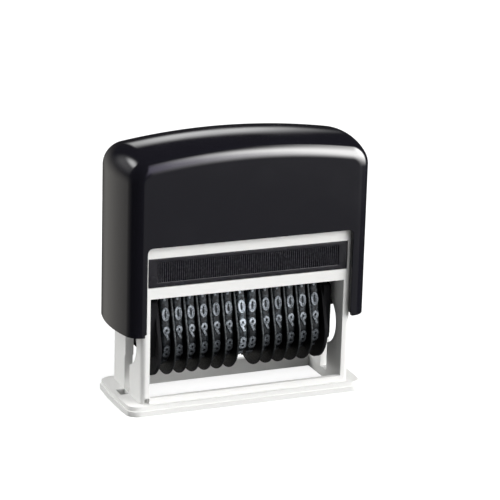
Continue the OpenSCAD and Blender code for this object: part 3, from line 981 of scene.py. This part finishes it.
@dataclass
class PadPanel:
    """The ribbed insert in the tray's front panel."""

    half_w: float = 22.3
    low_z: float = 31.15
    high_z: float = 35.85
    floor_y: float = -9.15
    depth: float = 0.28
    back: float = 0.1
    pitch: float = 0.52
    margin: float = 0.02
    fullness: float = 0.6
    points_per_rib: int = 6
    sharp_angle: float = 40

    def build(self, plastic: bpy.types.Material) -> bpy.types.Object:
        """Fine upright ribs: y = floor - depth |sin(pi u)|^fullness, u counting ribs from the left.

        Args:
            plastic: Their material.

        Returns:
            The piece, closed at the back.
        """
        half_w = self.half_w - self.margin
        ribs = round(2 * half_w / self.pitch)
        x = np.linspace(-half_w, half_w, ribs * self.points_per_rib + 1)
        rise = np.abs(np.sin(pi * ribs * (x + half_w) / (2 * half_w))) ** self.fullness
        front = np.column_stack([x, self.floor_y - self.depth * rise])
        back_y = self.floor_y + self.back
        outline = np.vstack([front, [[half_w, back_y], [-half_w, back_y]]])
        skin = Skin.prism(outline, self.low_z + self.margin, self.high_z - self.margin, axis=2)
        piece = make_mesh("pad_ribs", skin, [plastic])
        piece.data.set_sharp_from_angle(angle=radians(self.sharp_angle))
        return piece


@dataclass
class FeltPad:
    """The inked felt: a block with soft edges and an uneven, fibrous skin."""

    low: Vector
    high: Vector
    roundness: float = 0.6
    clearance: float = 0.12
    unevenness: float = 0.009
    corner_power: float = 12
    edge_power: float = 8
    ring_points: int = 160
    rings: int = 25
    seed: int = 7

    def build(self, felt: bpy.types.Material) -> bpy.types.Object:
        """Rings of a rounded rectangle, drawn in towards the top and the underside.

        A ring is half |cos t|^(2 / corner_power) and half |sin t|^(2 / corner_power) with their
        signs, and at the height e from -1 to 1 it is drawn in by
        roundness (1 - sqrt(1 - |e|^edge_power)).

        Args:
            felt: Its material.

        Returns:
            The piece.
        """
        middle = (self.low + self.high) / 2
        half = (self.high - self.low) / 2
        turns = np.linspace(0, 2 * pi, self.ring_points + 1)[:-1]
        level = np.linspace(-1, 1, self.rings)
        power = 2 / self.corner_power
        x = np.sign(np.cos(turns)) * np.abs(np.cos(turns)) ** power * half.x
        y = np.sign(np.sin(turns)) * np.abs(np.sin(turns)) ** power * half.y
        round_off = np.sqrt(np.clip(1 - np.abs(level) ** self.edge_power, 0, 1))
        inset = self.roundness * (1 - round_off)
        z = middle.z + level * (half.z - self.clearance)
        sections = np.stack([(1 - inset / half.x)[:, None] * x, (1 - inset / half.y)[:, None] * y,
                             np.broadcast_to(z[:, None], (len(level), len(turns)))], axis=-1)
        rng = np.random.default_rng(self.seed)
        sections[1:-1] += rng.normal(0, self.unevenness, sections[1:-1].shape)
        return make_mesh("felt_block", Skin.sweep(sections), [felt])


@dataclass
class ReturnSpring:
    """A return spring: a round wire along a helix with one closed turn at each end."""

    low: Vector
    high: Vector
    wire_r: float = 0.3
    turns: float = 7.5
    points_per_turn: int = 40
    wire_points: int = 10

    def build(self, side: str, steel: bpy.types.Material) -> bpy.types.Object:
        """Circles of the wire along (R cos t, R sin t, z(t)), where z rises slower at the ends.

        Args:
            side: left or right.
            steel: Its material.

        Returns:
            The piece.
        """
        steps = np.linspace(0, self.turns, int(self.turns * self.points_per_turn) + 1)
        reach = (self.high.x - self.low.x) / 2 - self.wire_r
        middle_x = (self.high.x + self.low.x) / 2
        closed_turn = 2 * self.wire_r
        free = (self.high.z - self.low.z - 3 * closed_turn) / (self.turns - 2)
        rise = (closed_turn * np.minimum(steps, 1) + free * np.clip(steps - 1, 0, self.turns - 2)
                + closed_turn * np.maximum(steps - self.turns + 1, 0))
        turn = 2 * pi * steps[:, None]
        round_wire = np.linspace(0, 2 * pi, self.wire_points + 1)[:-1]
        radius = reach + self.wire_r * np.cos(round_wire)
        z = self.low.z + self.wire_r + rise[:, None] + self.wire_r * np.sin(round_wire)
        sections = np.stack([middle_x + radius * np.cos(turn), radius * np.sin(turn),
                             z + 0 * turn], axis=-1)
        return make_mesh(f"return_coil_{side}", Skin.sweep(sections), [steel])


# ---------- studio ----------


@dataclass(frozen=True)
class Panel:
    """A soft patch of the surroundings, given by its directions from the stamp.

    Azimuth 0 is behind the stamp and 90 to its right. The patch is even within half_size of its
    middle and fades out over feather, both first along and then up, in degrees. lights is its
    strength for matt surfaces, and shows is its strength in reflections.
    """

    azimuth: float
    elevation: float
    half_size: tuple[float, float]
    feather: tuple[float, float]
    lights: float = 0.0
    shows: float = 0.0
    colour: Colour = (1, 1, 1)

    def mask(self, graph: Graph, direction: bpy.types.NodeSocket) -> bpy.types.NodeSocket:
        """Share of the patch in a direction, from 0 to 1.

        Args:
            graph: Graph of the world.
            direction: Where a ray goes.

        Returns:
            Its value.
        """
        rotation = (0, 0, radians(self.azimuth))
        turned = graph.node("Mapping", {"Vector": direction, "Rotation": rotation},
                            vector_type="VECTOR")
        parts = graph.node("SeparateXYZ", {0: turned.outputs[0]})
        aside = graph.math("ARCTAN2", parts.outputs["X"], parts.outputs["Y"])
        height = graph.math("ARCSINE", parts.outputs["Z"], 0)
        rise = graph.math("SUBTRACT", height, radians(self.elevation))
        shares = []
        for angle, half, feather in zip((aside, rise), self.half_size, self.feather):
            distance = graph.math("ABSOLUTE", angle, 0)
            shares.append(graph.spread(distance, radians(half), radians(half + feather), 1, 0))
        return graph.math("MULTIPLY", *shares)


@dataclass
class Studio:
    """Pale floor, soft light and the camera.

    offset is where the point at target_z on the stamp's axis lies from the camera: right, down
    and ahead.
    """

    azimuth: float = 23.105
    elevation: float = 17.089
    roll: float = 1.614
    focal_px: float = 2368.317
    image_px: float = 500
    offset: tuple[float, float, float] = (-3.718, -0.952, 547.248)
    target_z: float = 35.0
    sensor_mm: float = 36
    clip_start: float = 10
    floor_half: float = 3000.0
    floor_glow: float = 0.8
    floor_tone: float = 0.32
    room_lights: float = 0.02
    room_shows: float = 0.02
    panels: tuple[Panel, ...] = (
        Panel(122, 26.5, (23, 6.5), (20.5, 37), shows=25.5, colour=(1, 0.99, 0.98)),
        Panel(166, 32, (5, 6), (14, 34), shows=2.6, colour=(0.82, 0.77, 1.0)),
        Panel(148, -30, (20, 15), (9, 9), shows=0.29),
        Panel(-26, -28, (15, 15), (25, 28), shows=0.27, colour=(1, 0.97, 0.9)),
        Panel(-45, -28, (12, 15), (45, 28), shows=0.35, colour=(1, 0.97, 0.9)),
        Panel(20.5, 19.5, (2, 1.5), (9.5, 10), shows=2.35),
        Panel(-37, 39, (2, 1), (16, 10), shows=7),
        Panel(-38, 28, (5, 3), (20, 22), shows=0.9),
        Panel(133, 18, (14, 10), (20, 16), lights=7.5),
        Panel(155, 55, (30, 12), (20, 15), lights=2.2),
        Panel(-50, 30, (12, 22), (20, 18), lights=4.7),
        Panel(0, 90, (180, 12), (1, 15), lights=1.5),
    )

    def camera(self) -> None:
        """Camera that looks along azimuth and elevation at a point of the stamp's axis."""
        az, el, roll = radians(self.azimuth), radians(self.elevation), radians(self.roll)
        forward = np.array([sin(az) * cos(el), cos(az) * cos(el), -sin(el)])
        right = np.array([cos(az), -sin(az), 0])
        down = np.cross(forward, right)
        turned = np.array([cos(roll) * right - sin(roll) * down,
                           sin(roll) * right + cos(roll) * down, forward])
        place = np.array([0, 0, self.target_z]) - turned.T @ np.array(self.offset)
        matrix = np.eye(4)
        matrix[:3, :3] = np.column_stack([turned[0], -turned[1], -turned[2]])
        matrix[:3, 3] = place * MM
        data = bpy.data.cameras.new("camera")
        data.sensor_width = self.sensor_mm
        data.lens = self.focal_px * data.sensor_width / self.image_px
        data.clip_start = self.clip_start * MM
        camera = bpy.data.objects.new("camera", data)
        camera.matrix_world = Matrix(matrix.tolist())
        bpy.context.scene.collection.objects.link(camera)
        bpy.context.scene.camera = camera

    def floor(self) -> None:
        """A wide pale floor under the stamp, which glows for the camera alone."""
        half = self.floor_half
        corners = np.array([[-half, -half, 0], [half, -half, 0], [half, half, 0], [-half, half, 0]])
        material, graph, shader = new_material("studio_floor")
        unevenness = graph.noise(graph.node("TexCoord").outputs["Object"], 3)
        seen = graph.node("LightPath").outputs["Is Camera Ray"]
        graph.feed(shader, {
            "Base Color": graph.spread(unevenness, 0, 1, self.floor_tone - 0.01,
                                       self.floor_tone + 0.01),
            "Roughness": 0.9,
            "Specular IOR Level": 0.1,
            "Emission Color": (1, 1, 1, 1),
            "Emission Strength": graph.math("MULTIPLY", seen, self.floor_glow),
        })
        floor = make_mesh("floor", Skin(corners, [[0, 1, 2, 3]]), [material])
        floor.visible_glossy = False

    def world(self) -> None:
        """A dark room with white panels, which light the stamp and show in its gloss."""
        world = bpy.data.worlds.new("studio")
        world.use_nodes = True
        bpy.context.scene.world = world
        graph = Graph(world.node_tree)
        direction = graph.node("TexCoord").outputs["Generated"]
        glossy = graph.node("LightPath").outputs["Is Glossy Ray"]

        def strength(lights: float, shows: float) -> bpy.types.NodeSocket:
            """One value for matt surfaces and another in reflections."""
            mix = graph.node("Mix", {"Factor": glossy, "A": lights, "B": shows}, data_type="FLOAT")
            return mix.outputs["Result"]

        total = strength(self.room_lights, self.room_shows)
        for panel in self.panels:
            value = graph.math("MULTIPLY", strength(panel.lights, panel.shows),
                               panel.mask(graph, direction))
            tinted = graph.node("VectorMath", {0: (*panel.colour,), "Scale": value},
                                operation="SCALE").outputs[0]
            total = graph.node("VectorMath", {0: total, 1: tinted}, operation="ADD").outputs[0]
        graph.feed(world.node_tree.nodes["Background"], {"Color": total})

    def build(self) -> None:
        """Everything round the stamp."""
        bpy.context.scene.view_settings.view_transform = "Standard"
        self.camera()
        self.floor()
        self.world()


# ---------- the stamp ----------


@dataclass
class NumberStamp:
    """Puts the pieces on the CAD bodies and dresses the CAD nodes that stay.

    The figures of a band are the paler, the more it has worn. pale gives the bands whose
    figures are made paler than the others', and slipped those that have moved along their wheel.
    """

    materials: dict[str, bpy.types.Material]
    band_count: int = 13
    least_wear: float = 0.55
    wear_spread: float = 0.25
    pale: dict[int, float] = field(default_factory=lambda: {7: 1.2, 8: 0.4})
    slipped: dict[int, float] = field(default_factory=lambda: {7: 0.28, 8: -0.5})
    press_travel: float = 16.0
    seed: int = 3

    @staticmethod
    def box(node: str) -> tuple[Vector, Vector]:
        """Lowest and highest corner of a CAD node in millimetres."""
        low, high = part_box(node)
        return low / MM, high / MM

    def place(self, piece: bpy.types.Object, body: str, slot: str, *nodes: str) -> None:
        """Lets a piece ride on a body and stand for CAD nodes.

        Args:
            piece: The piece.
            body: Name of the body.
            slot: Not used.
            *nodes: CAD nodes that it replaces.
        """
        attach(piece, body)
        if nodes:
            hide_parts(*nodes)
        log.info("%s rides on %s", piece.name, body)

    def dress(self, node: str, material: str, rounding: float) -> None:
        """Gives a CAD node its material and rounded edges.

        Args:
            node: Name of the node.
            material: Name of the material.
            rounding: Width of the rounding in millimetres.
        """
        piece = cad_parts[node]
        piece.data.materials.clear()
        piece.data.materials.append(self.materials[material])
        soften(piece, rounding)
        log.info("%s is dressed in %s", node, material)

    def cover(self) -> None:
        """The press cover."""
        shell, fittings = PressCover(*self.box("cover")).build(self.materials["gloss_black"],
                                                               self.materials["inner_black"])
        self.place(shell, "cover", "gloss_black", "cover")
        self.place(fittings, "cover", "inner_black")

    def bands(self) -> None:
        """The thirteen number bands."""
        low, high = self.box("band_01")
        wheel_r = high.y
        row = NumberBands(LoopPath(wheel_z=low.z + wheel_r, wheel_r=wheel_r, top_z=high.z))
        rng = np.random.default_rng(self.seed)
        for number in range(1, self.band_count + 1):
            node = f"band_{number:02d}"
            low, high = self.box(node)
            wear = self.least_wear + self.wear_spread * rng.random() + self.pale.get(number, 0.0)
            piece = row.build(number, (low.x + high.x) / 2, wear, self.slipped.get(number, 0.0),
                              self.materials["band_rubber"])
            self.place(piece, "number_unit", "band_rubber", node)

    def pad(self) -> None:
        """The ribbed insert and the felt."""
        self.place(PadPanel().build(self.materials["pad_black"]), "pad", "pad_black")
        felt = FeltPad(*self.box("ink_felt")).build(self.materials["felt"])
        self.place(felt, "pad", "felt", "ink_felt")

    def springs(self) -> None:
        """The return springs."""
        for side in ("left", "right"):
            node = f"return_spring_{side}"
            low, high = self.box(node)
            coil = ReturnSpring(low, high).build(side, self.materials["spring_steel"])
            self.place(coil, "base", "spring_steel", node)
            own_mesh(coil)

    def carried_over(self) -> None:
        """Materials and rounded edges of the CAD nodes that stay."""
        dressed = {
            "base_frame": ("white_frame", 0.22),
            "pad_tray": ("pad_black", 0.12),
            "slide_yoke": ("wheel_grey", 0.15),
            "left_side_plate": ("plate_black", 0.12),
            "right_side_plate": ("plate_black", 0.12),
            "wheel_shaft": ("shaft_steel", 0.12),
            "shaft_clips": ("shaft_steel", 0.08),
            "pivot_shaft": ("shaft_steel", 0.12),
            "pivot_sleeves": ("plate_black", 0.1),
            "print_bridge": ("wheel_grey", 0.06),
            "dividers": ("divider_black", 0.12),
            "detent_comb": ("spring_steel", 0.03),
        }
        for number in range(1, self.band_count + 1):
            dressed[f"wheel_{number:02d}"] = ("wheel_grey", 0.08)
        for node, (material, rounding) in dressed.items():
            self.dress(node, material, rounding)

    def build(self) -> None:
        """The whole stamp."""
        self.carried_over()
        self.cover()
        self.bands()
        self.pad()
        self.springs()


def main() -> None:
    """Builds the studio and the stamp."""
    logging.basicConfig(level=logging.INFO, format="%(message)s")
    Studio().build()
    NumberStamp(make_materials()).build()


if __name__ == "__main__":
    main()
